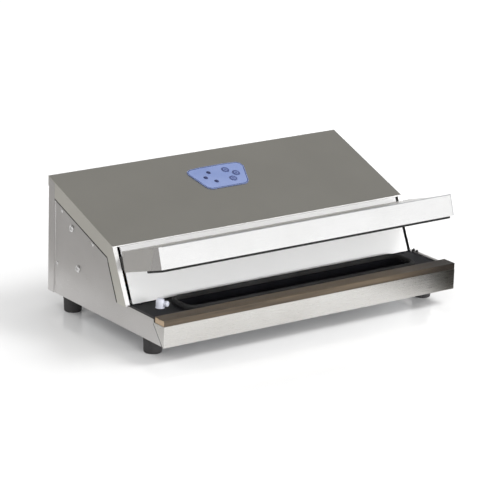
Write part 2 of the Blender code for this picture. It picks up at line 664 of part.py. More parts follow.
# ---------------------------------------------------------------- power entry
def make_power_entry():
    x, height = INLET_AT
    outer = DEPTH + REAR_PROUD
    inlet = box((x - 0.0155, REAR_FACE + GAP, height - 0.0122), (x + 0.0155, outer, height + 0.0122))
    inner_end = REAR_FACE + 0.001
    join(inlet, box((x - 0.0135, 0.2430, height - 0.0099), (x + 0.0135, inner_end, height + 0.0099)))
    socket = (
        (x - 0.0117, height - 0.0065),
        (x + 0.0117, height - 0.0065),
        (x + 0.0117, height + 0.0030),
        (x + 0.0075, height + 0.0070),
        (x - 0.0075, height + 0.0070),
        (x - 0.0117, height + 0.0030),
    )
    mouth = plate(socket, -0.2680, -0.2470, "z")
    mouth.rotation_euler.x = math.pi / 2
    cut(inlet, mouth)
    for across, up in ((-0.007, -0.0028), (0.007, -0.0028), (0, 0.0035)):
        low = (x + across - 0.0010, 0.2465, height + up - 0.0018)
        join(inlet, box(low, (x + across + 0.0010, outer - 0.0035, height + up + 0.0018)))
    finish(inlet, "power_inlet", "black_plastic")

    x, height = SWITCH_AT
    bezel_low = (x - 0.0075, REAR_FACE + GAP, height - 0.0112)
    switch = box(bezel_low, (x + 0.0075, outer - 0.0010, height + 0.0112))
    join(switch, box((x - 0.0059, 0.2420, height - 0.0096), (x + 0.0059, inner_end, height + 0.0096)))
    cut(switch, box((x - 0.0048, 0.2520, height - 0.0084), (x + 0.0048, 0.28, height + 0.0084)))
    finish(switch, "main_switch", "black_plastic")
    centre = (ROCKER_AXIS, height)
    turn = math.radians(ROCKER_TILT)
    profile = ((-0.0030, -0.0030), (0.0036, -0.0078), (0.0052, 0.0), (0.0036, 0.0078), (-0.0030, 0.0030))
    outline = []
    for depth, up in profile:
        outline.append(
            (
                centre[0] + depth * math.cos(turn) - up * math.sin(turn),
                centre[1] + depth * math.sin(turn) + up * math.cos(turn),
            )
        )
    finish(plate(outline, x - 0.0045, x + 0.0045), "main_switch_rocker", "dark_lens")



# ---------------------------------------------------------------- pump, valve, transformer, lid switch
FLOOR = CASE_BOTTOM + SHEET + GAP + 0.0012 + GAP
MOTOR_AXIS = (0.2020, 0.0640)


def make_pump():
    radius = 0.0260
    motor = cylinder((0.020, *MOTOR_AXIS), (0.096, *MOTOR_AXIS), radius, 32)
    cut(motor, cylinder((0.088, *MOTOR_AXIS), (0.098, *MOTOR_AXIS), 0.0032, 16))
    finish(motor, "pump_motor", "zinc_steel")
    bracket = box((0.024, 0.172, FLOOR), (0.092, 0.232, FLOOR + 0.0015))
    for x in (0.028, 0.082):
        join(bracket, box((x, 0.176, FLOOR + 0.0007), (x + 0.006, 0.228, 0.0560)))
    cut(bracket, cylinder((0.01, *MOTOR_AXIS), (0.10, *MOTOR_AXIS), radius + GAP, 32))
    finish(bracket, "pump_bracket", "zinc_steel")
    head = box((-0.040, 0.176, 0.040), (0.0197, 0.228, 0.088))
    join(head, cylinder((-0.012, 0.202, 0.080), (-0.012, 0.202, 0.104), 0.0200, 24))
    join(head, cylinder((-0.012, 0.178, 0.070), (-0.012, 0.164, 0.070), 0.0035, 12))
    finish(head, "pump_head", "grey_alloy")
    fan = cylinder((0.0890, *MOTOR_AXIS), (0.1120, *MOTOR_AXIS), 0.0025, 12)
    join(fan, cylinder((0.1000, *MOTOR_AXIS), (0.1100, *MOTOR_AXIS), 0.0070, 16))
    for blade in range(6):
        turn = math.pi / 3 * blade
        spoke = box((0.1010, -0.0008, 0.0050), (0.1090, 0.0008, 0.0230))
        spoke.location = (0, *MOTOR_AXIS)
        spoke.rotation_euler.x = turn
        join(fan, spoke)
    finish(fan, "motor_fan", "black_plastic")


VALVE_AT = (-0.0850, 0.1750)


def make_valve_and_hoses():
    x, depth = VALVE_AT
    valve = box((x - 0.012, depth - 0.012, FLOOR), (x + 0.012, depth + 0.012, 0.0440))
    join(valve, cylinder((x, depth, 0.0430), (x, depth, 0.0720), 0.0110, 20))
    join(valve, cylinder((x, depth - 0.010, 0.0340), (x, depth - 0.022, 0.0340), 0.0035, 12))
    join(valve, cylinder((x + 0.010, depth, 0.0340), (x + 0.022, depth, 0.0340), 0.0035, 12))
    finish(valve, "release_valve", "black_plastic")
    start = STUB_REACH + GAP
    port_x, port_depth = PORT_AT
    suction = (
        (port_x, port_depth + start, STUB_HEIGHT),
        (port_x, port_depth + start + 0.004, STUB_HEIGHT),
        (port_x, port_depth + start + 0.012, STUB_HEIGHT),
        (0.110, 0.115, 0.0340),
        (0.040, 0.130, 0.0450),
        (0.000, 0.140, 0.0620),
        (-0.012, 0.1500, 0.0700),
        (-0.012, 0.1590, 0.0700),
        (-0.012, 0.1636, 0.0700),
    )
    finish(tube(suction, 0.0034), "suction_hose", "clear_hose")
    nozzle_x, nozzle_depth = NOZZLE_AT
    line = (
        (nozzle_x, nozzle_depth + start, STUB_HEIGHT),
        (nozzle_x, nozzle_depth + start + 0.004, STUB_HEIGHT),
        (nozzle_x, nozzle_depth + start + 0.012, STUB_HEIGHT),
        (-0.155, 0.122, 0.0330),
        (-0.100, 0.128, 0.0335),
        (x, depth - 0.036, 0.0340),
        (x, depth - 0.028, 0.0340),
        (x, depth - 0.0224, 0.0340),
    )
    finish(tube(line, 0.0034), "nozzle_hose", "clear_hose")


TRANSFORMER_AT = (-0.145, 0.200, 0.0560)


def make_transformer():
    x, depth, height = TRANSFORMER_AT
    base = FLOOR - height
    core = box((x - 0.033, depth - 0.011, FLOOR), (x + 0.033, depth + 0.011, height - base))
    for side in (-1, 1):
        low, high = sorted((side * 0.011, side * 0.0222))
        cut(core, box((x + low, depth - 0.02, height - 0.0175), (x + high, depth + 0.02, height + 0.0175)))
    finish(core, "transformer_core", "core_steel")
    coil = box((x - 0.0215, depth - 0.020, height - 0.0170), (x + 0.0215, depth + 0.020, height + 0.0170))
    hole = box((x - 0.0114, depth - 0.0114, height - 0.03), (x + 0.0114, depth + 0.0114, height + 0.03))
    finish(cut(coil, hole), "transformer_coil", "copper")


PLUNGER_AT = (-0.2168, 0.1400)
PLUNGER_TOP = 0.0579


def make_lid_switch():
    x, depth = PLUNGER_AT
    body = box((x - 0.0028, depth - 0.010, 0.0420), (x + 0.0030, depth + 0.010, 0.0545))
    cut(body, cylinder((x, depth, 0.0470), (x, depth, 0.06), 0.0016, 12))
    finish(body, "lid_switch", "black_plastic")
    plunger = cylinder((x, depth, 0.0500), (x, depth, PLUNGER_TOP), 0.0013, 12)
    finish(plunger, "lid_switch_plunger", "white_plastic")
    inner = x + 0.0030 + GAP
    bracket = box((inner, depth - 0.010, FLOOR), (inner + 0.0012, depth + 0.010, 0.0540))
    join(bracket, box((inner, depth - 0.010, FLOOR), (inner + 0.012, depth + 0.010, FLOOR + 0.0012)))
    finish(bracket, "lid_switch_bracket", "zinc_steel")


make_base_plate()
make_front_panel()
make_side_panels()
make_rear_panel()
make_hood()
make_slanted_panel()
make_feet()
make_seal_bar()
make_tray()
finish(gasket_loop(TRAY_TOP + GAP, BAR_TOP), "base_gasket", "black_foam")
make_fittings()
make_lid()
make_arms()
make_pivots_and_springs()
make_controls()
make_power_entry()
make_pump()
make_valve_and_hoses()
make_transformer()
make_lid_switch()
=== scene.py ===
"""Looks of the countertop vacuum sealer: materials, edge bevels and the small pieces around its CAD frame.

Metres, +Z up, front towards -Y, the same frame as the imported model.
"""

import json
import math

import bmesh
import bpy
from mathutils import Matrix, Vector


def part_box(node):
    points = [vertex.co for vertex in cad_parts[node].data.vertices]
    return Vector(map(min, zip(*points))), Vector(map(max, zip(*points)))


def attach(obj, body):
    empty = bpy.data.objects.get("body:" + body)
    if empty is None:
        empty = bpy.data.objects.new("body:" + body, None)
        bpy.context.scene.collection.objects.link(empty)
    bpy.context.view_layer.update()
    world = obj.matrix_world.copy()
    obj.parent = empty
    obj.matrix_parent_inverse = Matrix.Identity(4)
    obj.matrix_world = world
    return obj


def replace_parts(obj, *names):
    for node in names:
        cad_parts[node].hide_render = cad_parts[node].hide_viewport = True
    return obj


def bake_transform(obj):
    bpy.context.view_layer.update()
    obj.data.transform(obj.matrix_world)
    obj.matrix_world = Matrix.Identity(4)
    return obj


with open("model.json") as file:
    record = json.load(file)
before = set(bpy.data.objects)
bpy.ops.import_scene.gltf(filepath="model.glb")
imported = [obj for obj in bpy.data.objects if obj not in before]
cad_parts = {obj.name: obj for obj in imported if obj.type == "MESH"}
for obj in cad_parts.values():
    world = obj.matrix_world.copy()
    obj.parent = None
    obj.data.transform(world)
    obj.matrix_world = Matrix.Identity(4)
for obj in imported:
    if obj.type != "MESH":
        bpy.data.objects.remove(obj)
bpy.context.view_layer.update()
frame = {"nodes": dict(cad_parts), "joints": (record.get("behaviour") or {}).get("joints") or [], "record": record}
nodes = frame["nodes"]

# ---------------------------------------------------------------- places read from the frame
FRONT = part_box("seal_bar_cover")[0].y
JOINTS = {joint["name"]: joint for joint in frame["joints"]}
LID_PIVOT = Vector(JOINTS["lid_hinge"]["pos_m"])
LID_TILT = math.radians(JOINTS["lid_hinge"]["range_deg"][1])
SLOPE_DOWN = Vector(JOINTS["button_1_press"]["axis"])
SLOPE_TILT = math.atan2(SLOPE_DOWN.y, -SLOPE_DOWN.z)
HOOD_FRONT = Vector((0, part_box("slanted_panel")[0].y + 0.0315, 0.1165))
LID_CORNER = Vector((0, 0.0008 - 0.1932, 0.0577 - 0.0662))  # closed lid's front bottom edge, from its axis
SLOPE = Matrix.Translation(HOOD_FRONT) @ Matrix.Rotation(SLOPE_TILT, 4, "X")
LID = Matrix.Translation(LID_PIVOT) @ Matrix.Rotation(-LID_TILT, 4, "X") @ Matrix.Translation(LID_CORNER)
SMOOTH_ANGLE = math.radians(35)


# ---------------------------------------------------------------- node helpers
class Paint:
    """A node material being built: each method adds a node and returns its output socket."""

    def __init__(self, name, colour, roughness, metallic=0.0):
        self.material = bpy.data.materials.new(name)
        self.material.use_nodes = True
        self.tree = self.material.node_tree
        self.shader = self.tree.nodes["Principled BSDF"]
        self.set("Base Color", (*colour, 1))
        self.set("Roughness", roughness)
        self.set("Metallic", metallic)

    def set(self, socket, value):
        self.shader.inputs[socket].default_value = value

    def link(self, source, target):
        self.tree.links.new(source, target)

    def place(self, stretch=(1, 1, 1)):
        """Object coordinates, scaled along each axis."""
        coordinates = self.tree.nodes.new("ShaderNodeTexCoord")
        mapping = self.tree.nodes.new("ShaderNodeMapping")
        mapping.inputs["Scale"].default_value = stretch
        self.link(coordinates.outputs["Object"], mapping.inputs["Vector"])
        return mapping.outputs["Vector"]

    def noise(self, scale, stretch=(1, 1, 1), detail=4.0, roughness=0.55):
        node = self.tree.nodes.new("ShaderNodeTexNoise")
        node.inputs["Scale"].default_value = scale
        node.inputs["Detail"].default_value = detail
        node.inputs["Roughness"].default_value = roughness
        self.link(self.place(stretch), node.inputs["Vector"])
        return node.outputs["Fac"]

    def spread(self, source, low, high, source_low=0.3, source_high=0.7):
        """A number running from low to high."""
        node = self.tree.nodes.new("ShaderNodeMapRange")
        node.inputs["From Min"].default_value = source_low
        node.inputs["From Max"].default_value = source_high
        node.inputs["To Min"].default_value = low
        node.inputs["To Max"].default_value = high
        self.link(source, node.inputs["Value"])
        return node.outputs["Result"]

    def between(self, source, dark, light, at=(0.3, 0.7)):
        """A colour running from dark to light."""
        node = self.tree.nodes.new("ShaderNodeValToRGB")
        first, second = node.color_ramp.elements
        first.position, first.color = at[0], (*dark, 1)
        second.position, second.color = at[1], (*light, 1)
        self.link(source, node.inputs["Fac"])
        return node.outputs["Color"]

    def mask(self, node_type, output, axis, start, end, both=False):
        """0 to 1 as one coordinate (its size, for both) runs from start to end."""
        source = self.tree.nodes.new(node_type)
        split = self.tree.nodes.new("ShaderNodeSeparateXYZ")
        self.link(source.outputs[output], split.inputs["Vector"])
        value = split.outputs[axis]
        if both:
            size = self.tree.nodes.new("ShaderNodeMath")
            size.operation = "ABSOLUTE"
            self.link(value, size.inputs[0])
            value = size.outputs["Value"]
        return self.spread(value, 0.0, 1.0, start, end)

    def product(self, values):
        """The values multiplied together."""
        result = values[0]
        for value in values[1:]:
            node = self.tree.nodes.new("ShaderNodeMath")
            node.operation = "MULTIPLY"
            self.link(result, node.inputs[0])
            self.link(value, node.inputs[1])
            result = node.outputs["Value"]
        return result

    def tint(self, fac, colour):
        """Multiplies the base colour by a colour where fac is 1."""
        mix = self.tree.nodes.new("ShaderNodeMix")
        mix.data_type = "RGBA"
        mix.blend_type = "MULTIPLY"
        base = self.shader.inputs["Base Color"]
        self.link(fac, mix.inputs["Factor"])
        self.link(base.links[0].from_socket, mix.inputs["A"])
        mix.inputs["B"].default_value = (*colour, 1)
        self.link(mix.outputs["Result"], base)

    def bump(self, height, strength, distance):
        node = self.tree.nodes.new("ShaderNodeBump")
        node.inputs["Strength"].default_value = strength
        node.inputs["Distance"].default_value = distance
        self.link(height, node.inputs["Height"])
        last = self.shader.inputs["Normal"]
        if last.is_linked:
            self.link(last.links[0].from_socket, node.inputs["Normal"])
        self.link(node.outputs["Normal"], last)


def steel(name, dark, light, roughness, grain=(1, 60, 60), depth=0.10, metallic=1.0, tints=(), sheen=None):
    """Brushed or polished sheet with fine stretched grain and cloudy tone.

    Each tint is a colour and the masks it needs; the tints used here are painted shade and painted reflection.
    sheen is (mask, low): metallic from low to full over it, used on the hood so its forward faces show their pale
    colour as a painted lit look.
    """
    paint = Paint(name, light, roughness[0], metallic)
    cloud = paint.noise(9.0, detail=3.0)
    lines = paint.noise(55.0, grain, detail=6.0, roughness=0.7)
    paint.link(paint.between(cloud, dark, light), paint.shader.inputs["Base Color"])
    paint.link(paint.spread(lines, *roughness), paint.shader.inputs["Roughness"])
    paint.bump(lines, depth, 0.0002)
    for colour, *masks in tints:
        paint.tint(paint.product([paint.mask(*mask) for mask in masks]), colour)
    if sheen:
        mask, low = sheen
        paint.link(paint.spread(paint.mask(*mask), low, metallic, 0, 1), paint.shader.inputs["Metallic"])
    return paint.material


def moulded(name, dark, light, roughness, speck=900.0, depth=0.15, specular=0.5, metallic=0.0):
    """Plastic, rubber or cast metal with a fine moulded texture and slight colour change."""
    paint = Paint(name, light, roughness[0], metallic)
    paint.set("Specular IOR Level", specular)
    tone = paint.noise(30.0, detail=3.0)
    grain = paint.noise(speck, detail=2.0)
    paint.link(paint.between(tone, dark, light), paint.shader.inputs["Base Color"])
    paint.link(paint.spread(grain, *roughness), paint.shader.inputs["Roughness"])
    paint.bump(grain, depth, 0.0001)
    return paint.material


def woven(name, dark, light):
    """Coated glass cloth: a fine square weave under a satin brown coat, darkened towards its right end as a
    painted reflection.
    """
    paint = Paint(name, light, 0.42)
    weave = []
    for direction in ("X", "Y"):
        wave = paint.tree.nodes.new("ShaderNodeTexWave")
        wave.bands_direction = direction
        wave.inputs["Scale"].default_value = 260.0
        paint.link(paint.place(), wave.inputs["Vector"])
        weave.append(wave.outputs["Fac"])
    streak = paint.noise(14.0, (0.6, 9, 9), detail=5.0)
    paint.link(paint.between(streak, dark, light), paint.shader.inputs["Base Color"])
    paint.link(paint.spread(streak, 0.34, 0.52), paint.shader.inputs["Roughness"])
    paint.bump(paint.product(weave), 0.25, 0.0001)
    # painted reflection: darker towards the bar's right end
    paint.tint(paint.mask("ShaderNodeTexCoord", "Object", "X", 0.110, 0.205), (0.22, 0.22, 0.25))
    return paint.material


def phenolic(name):
    """Paper laminate: thin layers seen on its cut ends."""
    paint = Paint(name, (0.42, 0.31, 0.20), 0.5)
    layers = paint.noise(40.0, (1, 6, 40), detail=5.0)
    colour = paint.between(layers, (0.36, 0.25, 0.155), (0.52, 0.40, 0.27))
    paint.link(colour, paint.shader.inputs["Base Color"])
    paint.bump(layers, 0.2, 0.0001)
    return paint.material


LENGTHWISE = (1, 60, 60)  # grain running along X
CROSSWISE = (60, 1, 60)  # grain running along Y
# RETURN_MASK is 1 off the forward faces, where the hood's tint paints shade
RETURN_MASK = ("ShaderNodeNewGeometry", "Normal", "Y", -0.8, -0.55)  # 0 on faces that look forwards
FORWARD_MASK = ("ShaderNodeNewGeometry", "Normal", "Y", -0.5, -0.9)  # 1 on faces that look forwards
# SIDEWAYS_MASK picks the faces that look sideways, where the lid's tint paints shade
SIDEWAYS_MASK = ("ShaderNodeNewGeometry", "Normal", "X", 0.3, 0.8, True)
# RIGHT_END_MASK with FORWARD_MASK picks where the front panel's tint paints a dark reflection
RIGHT_END_MASK = ("ShaderNodeTexCoord", "Object", "X", 0.180, 0.215)
FINISHES = (
    steel(
        "hood_steel",
        (0.93, 0.925, 0.915),
        (0.99, 0.985, 0.975),
        (0.28, 0.38),
        (1, 90, 90),
        0.06,
        # painted shade: the hood's top and side faces are darkened against its forward-facing returns, which are
        # also kept less metallic to look lit
        tints=[((0.73, 0.72, 0.67), RETURN_MASK)],
        sheen=(RETURN_MASK, 0.15),
    ),
    steel("case_steel", (0.60, 0.585, 0.56), (0.68, 0.67, 0.65), (0.24, 0.34), LENGTHWISE, 0.06),
    steel(
        "front_steel",
        (0.60, 0.585, 0.56),
        (0.68, 0.67, 0.65),
        (0.24, 0.34),
        LENGTHWISE,
        0.06,
        # painted reflection: the front panel's forward face darkened towards its right end
        tints=[((0.50, 0.49, 0.46), RIGHT_END_MASK, FORWARD_MASK)],
    ),
    steel("side_steel", (0.60, 0.585, 0.57), (0.66, 0.645, 0.635), (0.26, 0.36), CROSSWISE, 0.06),
    steel("satin_steel", (0.94, 0.94, 0.935), (0.99, 0.99, 0.985), (0.30, 0.38), CROSSWISE, 0.05, 0.32),
    steel(
        "lid_steel",
        (0.90, 0.90, 0.895),
        (0.96, 0.96, 0.96),
        (0.16, 0.26),
        LENGTHWISE,
        0.05,
        # painted shade: the lid's sideways-facing ends darkened
        tints=[((0.67, 0.66, 0.65), SIDEWAYS_MASK)],
    ),
    steel("bright_steel", (0.86, 0.86, 0.855), (0.92, 0.92, 0.92), (0.16, 0.26), LENGTHWISE, 0.05),
    steel("zinc_steel", (0.46, 0.47, 0.50), (0.62, 0.63, 0.64), (0.34, 0.5), (1, 1, 1), 0.05),
    steel("arm_steel", (0.045, 0.044, 0.043), (0.085, 0.083, 0.080), (0.35, 0.5), (60, 1, 1), 0.1, 0.6),
    steel("nichrome", (0.30, 0.28, 0.26), (0.42, 0.40, 0.37), (0.35, 0.5)),
    steel("core_steel", (0.10, 0.10, 0.105), (0.17, 0.17, 0.18), (0.45, 0.6), (1, 140, 1), 0.4),
    steel("copper", (0.42, 0.16, 0.06), (0.62, 0.27, 0.12), (0.3, 0.42), (1, 1, 120), 0.5),
    phenolic("phenolic"),
    woven("glass_cloth", (0.034, 0.023, 0.013), (0.108, 0.079, 0.050)),
    moulded("black_plastic", (0.006, 0.006, 0.008), (0.011, 0.011, 0.014), (0.48, 0.62), specular=0.15),
    moulded("black_foam", (0.013, 0.013, 0.013), (0.028, 0.028, 0.028), (0.75, 0.92), 1600.0, 0.5),
    moulded("silicone", (0.008, 0.008, 0.008), (0.014, 0.014, 0.014), (0.45, 0.6), 700.0, 0.1),
    # painted shadow for the seam lines: near-black beads where the seams' shade falls
    moulded("seam_black", (0.010, 0.010, 0.010), (0.020, 0.019, 0.018), (0.5, 0.7)),
    moulded("white_plastic", (0.72, 0.74, 0.84), (0.86, 0.88, 0.96), (0.28, 0.4), 500.0, 0.08),
    moulded("rubber", (0.030, 0.028, 0.029), (0.052, 0.050, 0.051), (0.62, 0.8), 700.0, 0.35),
    moulded("blue_film", (0.152, 0.202, 0.385), (0.190, 0.240, 0.430), (0.34, 0.42), 1400.0, 0.12),
    moulded("icon_blue", (0.045, 0.060, 0.16), (0.065, 0.085, 0.21), (0.36, 0.44)),
    moulded("dark_lens", (0.020, 0.026, 0.075), (0.032, 0.040, 0.11), (0.14, 0.22), 200.0, 0.03),
    moulded("green_board", (0.010, 0.085, 0.035), (0.016, 0.13, 0.055), (0.3, 0.42), 300.0, 0.1),
    moulded("grey_alloy", (0.34, 0.35, 0.36), (0.44, 0.45, 0.46), (0.45, 0.6), 600.0, 0.5, metallic=1.0),
    moulded("clear_hose", (0.55, 0.58, 0.58), (0.66, 0.69, 0.69), (0.3, 0.4), 100.0, 0.05),
)
# the frame's own materials may hold the plain names, so Blender adds a number to these
MATERIALS = {material.name.partition(".")[0]: material for material in FINISHES}

# CAD nodes that take one of those finishes
NODE_FINISH = {
    "side_panel_left": "side_steel",
    "side_panel_right": "side_steel",
    "rear_panel": "side_steel",
    "front_panel": "front_steel",
    "slanted_panel": "satin_steel",
    "lid_front": "lid_steel",
    "lid_arm_left": "arm_steel",
    "lid_arm_right": "arm_steel",
}


# ---------------------------------------------------------------- mesh helpers
def add_piece(name, shape, slot, body="housing", place=None):
    """A finished mesh piece from a bmesh: placed, painted, shaded and riding on a body."""
    bmesh.ops.remove_doubles(shape, verts=shape.verts, dist=1e-7)
    bmesh.ops.recalc_face_normals(shape, faces=shape.faces)
    if place is not None:
        bmesh.ops.transform(shape, matrix=place, verts=shape.verts)
    mesh = bpy.data.meshes.new(name)
    shape.to_mesh(mesh)
    shape.free()
    mesh.shade_smooth()
    mesh.set_sharp_from_angle(angle=SMOOTH_ANGLE)
    mesh.materials.append(MATERIALS[slot])
    piece = bpy.data.objects.new(name, mesh)
    bpy.context.scene.collection.objects.link(piece)
    if body is not None:
        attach(piece, body)
    return piece


def add_bevel(piece, width, segments=2, angle=40):
    bevel = piece.modifiers.new("edges", "BEVEL")
    bevel.width = width
    bevel.segments = segments
    bevel.limit_method = "ANGLE"
    bevel.angle_limit = math.radians(angle)
    bevel.harden_normals = True
    return piece


def lathe(profile, axis_place, steps=32):
    """A closed turned solid about local z, from (radius, height) points listed from top to bottom centre."""
    shape = bmesh.new()
    verts = [shape.verts.new((radius, 0, height)) for radius, height in profile]
    edges = [shape.edges.new(pair) for pair in zip(verts, verts[1:])]
    bmesh.ops.spin(shape, geom=[*verts, *edges], cent=(0, 0, 0), axis=(0, 0, 1), angle=math.tau, steps=steps)
    bmesh.ops.transform(shape, matrix=axis_place, verts=shape.verts)
    return shape


def facing(point, direction):
    """Local z turned along a direction, at a point."""
    turn = Vector((0, 0, 1)).rotation_difference(Vector(direction))
    return Matrix.Translation(point) @ turn.to_matrix().to_4x4()


def extruded(outline, low, high, place=None):
    """A flat outline of (x, y) points between two heights."""
    shape = bmesh.new()
    face = shape.faces.new([shape.verts.new((x, y, low)) for x, y in outline])
    grown = bmesh.ops.extrude_face_region(shape, geom=[face])
    top = [item for item in grown["geom"] if isinstance(item, bmesh.types.BMVert)]
    bmesh.ops.translate(shape, vec=(0, 0, high - low), verts=top)
    if place is not None:
        bmesh.ops.transform(shape, matrix=place, verts=shape.verts)
    return shape


def ring(outer, inner, low, high):
    """A flat ring between two outlines with the same number of points."""
    shape = bmesh.new()
    rows = []
    for outline, height in ((outer, low), (outer, high), (inner, high), (inner, low)):
        rows.append([shape.verts.new((x, y, height)) for x, y in outline])
    count = len(outer)
    for row, following in zip(rows, rows[1:] + rows[:1]):
        for i in range(count):
            j = (i + 1) % count
            shape.faces.new((row[i], row[j], following[j], following[i]))
    return shape


def circle(x, y, radius, steps=32):
    turns = [math.tau * i / steps for i in range(steps)]
    return [(x + radius * math.cos(turn), y + radius * math.sin(turn)) for turn in turns]


def rounded(left, right, front, back, corner, steps=8):
    """A rectangle with round corners."""
    outline = []
    centres = ((right, back, -1, -1), (left, back, 1, -1), (left, front, 1, 1), (right, front, -1, 1))
    for quarter, (x, y, sx, sy) in enumerate(centres):
        for step in range(steps + 1):
            angle = math.pi / 2 * (quarter + step / steps)
            outline.append((x + corner * (sx + math.cos(angle)), y + corner * (sy + math.sin(angle))))
    return outline


def swept(path, section, closed=False, up=Vector((0, 0, 1))):
    """A section of (across, up) points carried along a path."""
    shape = bmesh.new()
    rows = []
    last = len(path) - 1
    for i, point in enumerate(path):
        before = path[i - 1] if closed or i else point
        after = path[(i + 1) % len(path)] if closed or i < last else point
        along = (after - before).normalized()
        across = along.cross(up).normalized()
        rise = across.cross(along)
        rows.append([shape.verts.new(point + across * a + rise * b) for a, b in section])
    pairs = list(zip(rows, rows[1:]))
    if closed:
        pairs.append((rows[-1], rows[0]))
    size = len(section)
    for row, following in pairs:
        for i in range(size):
            j = (i + 1) % size
            shape.faces.new((row[i], row[j], following[j], following[i]))
    if not closed:
        shape.faces.new(rows[0])
        shape.faces.new(rows[-1])
    return shape


def smooth_route(points, steps=8):
    """Catmull-Rom points through the given ones."""
    points = [Vector(point) for point in points]
    ends = [2 * points[0] - points[1], *points, 2 * points[-1] - points[-2]]
    route = []
    for a, b, c, d in zip(ends, ends[1:], ends[2:], ends[3:]):
        for step in range(steps):
            t = step / steps
            bend = (2 * a - 5 * b + 4 * c - d) * t * t + (3 * b - a - 3 * c + d) * t**3
            route.append((2 * b + (c - a) * t + bend) / 2)
    return [*route, points[-1]]


# ---------------------------------------------------------------- CAD nodes: materials and folded edges
EDGE = {"hood_steel": 0.0006, "case_steel": 0.0005, "bright_steel": 0.0005, "zinc_steel": 0.0003}


def paint_frame():
    slots = {part["node"]: part["material_slot"] for part in frame["record"]["subparts"]}
    for name, node in nodes.items():
        node.data.materials.clear()
        node.data.materials.append(MATERIALS[NODE_FINISH.get(name, slots[name])])
        width = EDGE.get(slots[name], 0.0002)
        add_bevel(node, width, 2)


# ---------------------------------------------------------------- fasteners
def screw_head(name, point, direction, radius, height, body="housing", slot="bright_steel"):
    """A domed pan head with a cross recess."""
    shares = ((0, 1), (0.45, 0.96), (0.8, 0.72), (1, 0.25), (1, 0), (0, 0))
    dome = [(radius * across, height * up) for across, up in shares]
    head = add_piece(name, lathe(dome, Matrix.Identity(4), 24), slot, body, facing(point, direction))
    long, thin = radius * 0.5, radius * 0.1
    for turn in (0, math.pi / 2):
        blade = extruded(
            [(-long, -thin), (long, -thin), (long, thin), (-long, thin)],
            height * 0.45,
            height * 1.3,
            facing(point, direction) @ Matrix.Rotation(turn, 4, "Z"),
        )
        cutter_mesh = bpy.data.meshes.new(f"{name}_slot")
        bmesh.ops.recalc_face_normals(blade, faces=blade.faces)
        blade.to_mesh(cutter_mesh)
        blade.free()
        cutter = bpy.data.objects.new(f"{name}_slot", cutter_mesh)
        bpy.context.scene.collection.objects.link(cutter)
        step = head.modifiers.new("slot", "BOOLEAN")
        step.operation = "DIFFERENCE"
        step.object = cutter
        bake(head)
        bpy.data.objects.remove(cutter, do_unlink=True)
    return head


def bake(piece):
    """Apply a piece's modifiers."""
    bpy.context.view_layer.update()
    graph = bpy.context.evaluated_depsgraph_get()
    mesh = bpy.data.meshes.new_from_object(piece.evaluated_get(graph))
    piece.modifiers.clear()
    piece.data = mesh


SIDE_SCREWS = ((0.2320, 0.1315), (0.1610, 0.1066), (0.2417, 0.0610))


def add_side_screws():
    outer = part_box("side_panel_right")[1].x
    for side, name in ((-1, "left"), (1, "right")):
        for number, (depth, height) in enumerate(SIDE_SCREWS, 1):
            point = Vector((side * (outer - 0.0001), FRONT + depth, height))
            screw_head(f"side_screw_{name}_{number}", point, (side, 0, 0), 0.0023, 0.0012)
        for label in ("pivot_bolt", "spring_bolt"):
            low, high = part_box(f"{label}_{name}")
            centre = (low + high) / 2
            centre.x = side * (outer + 0.00035)
            radius, height = 0.0046, 0.0021
            screw = screw_head(f"{label}_head_{name}", centre, (side, 0, 0), radius, height)
            start = abs(centre.x)
            end = abs(low.x if side > 0 else high.x)
            profile = [(0, start), (0.0036, start), (0.0036, end + 0.0004), (0.0032, end), (0, end)]
            shank = lathe(profile, Matrix.Identity(4), 20)
            radius_share = 1.1 if label == "pivot_bolt" else 0.8
            grow = Matrix.Diagonal((radius_share, radius_share, 1, 1))
            place = facing((0, centre.y, centre.z), (side, 0, 0)) @ grow
            add_piece(f"{label}_shank_{name}", shank, "zinc_steel", "housing", place)
            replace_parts(screw, f"{label}_{name}")


REAR_PLANE = FRONT + 0.2614
HOOD_REAR_PLANE = FRONT + 0.2627
REAR_SCREWS = ((-0.212, 0.132), (0.212, 0.132), (-0.212, 0.036), (0.212, 0.036))
HOOD_SCREWS = tuple((x, 0.1630) for x in (-0.190, -0.065, 0.065, 0.190))
BASE_SCREWS = ((-0.120, 0.010), (0.120, 0.010), (-0.150, 0.251), (0.150, 0.251))


def add_rear_details():
    for number, (x, height) in enumerate(REAR_SCREWS, 1):
        screw_head(f"rear_screw_{number}", Vector((x, REAR_PLANE, height)), (0, 1, 0), 0.0026, 0.0011)
    for number, (x, height) in enumerate(HOOD_SCREWS, 1):
        screw_head(f"hood_screw_{number}", Vector((x, HOOD_REAR_PLANE, height)), (0, 1, 0), 0.0026, 0.0011)
    for number, (x, depth) in enumerate(BASE_SCREWS, 1):
        screw_head(f"base_screw_{number}", Vector((x, FRONT + depth, 0.0200)), (0, 0, -1), 0.0026, 0.0011)
    centre = Vector((0.030, REAR_PLANE, 0.048))
    turn = Matrix.Translation(centre) @ Matrix.Rotation(-math.pi / 2, 4, "X")
    blank = extruded(rounded(-0.026, 0.026, -0.014, 0.014, 0.002), 0, 0.0005, turn)
    add_bevel(add_piece("blank_rating_plate", blank, "zinc_steel"), 0.0001)
    outer = rounded(-0.0235, 0.0235, -0.0115, 0.0115, 0.001)
    inner = rounded(-0.0230, 0.0230, -0.0110, 0.0110, 0.001)
    add_piece("rating_plate_line", ring(outer, inner, 0, 0.0006), "black_plastic", "housing", turn)
    rivet = [(0, 0.0011), (0.0007, 0.0010), (0.0010, 0.0006), (0.0010, 0.0004), (0, 0.0004)]
    for number, offset in enumerate((-0.0245, 0.0245), 1):
        place = facing(centre + Vector((offset, 0, 0)), (0, 1, 0))
        add_piece(f"rating_plate_rivet_{number}", lathe(rivet, place, 16), "bright_steel")


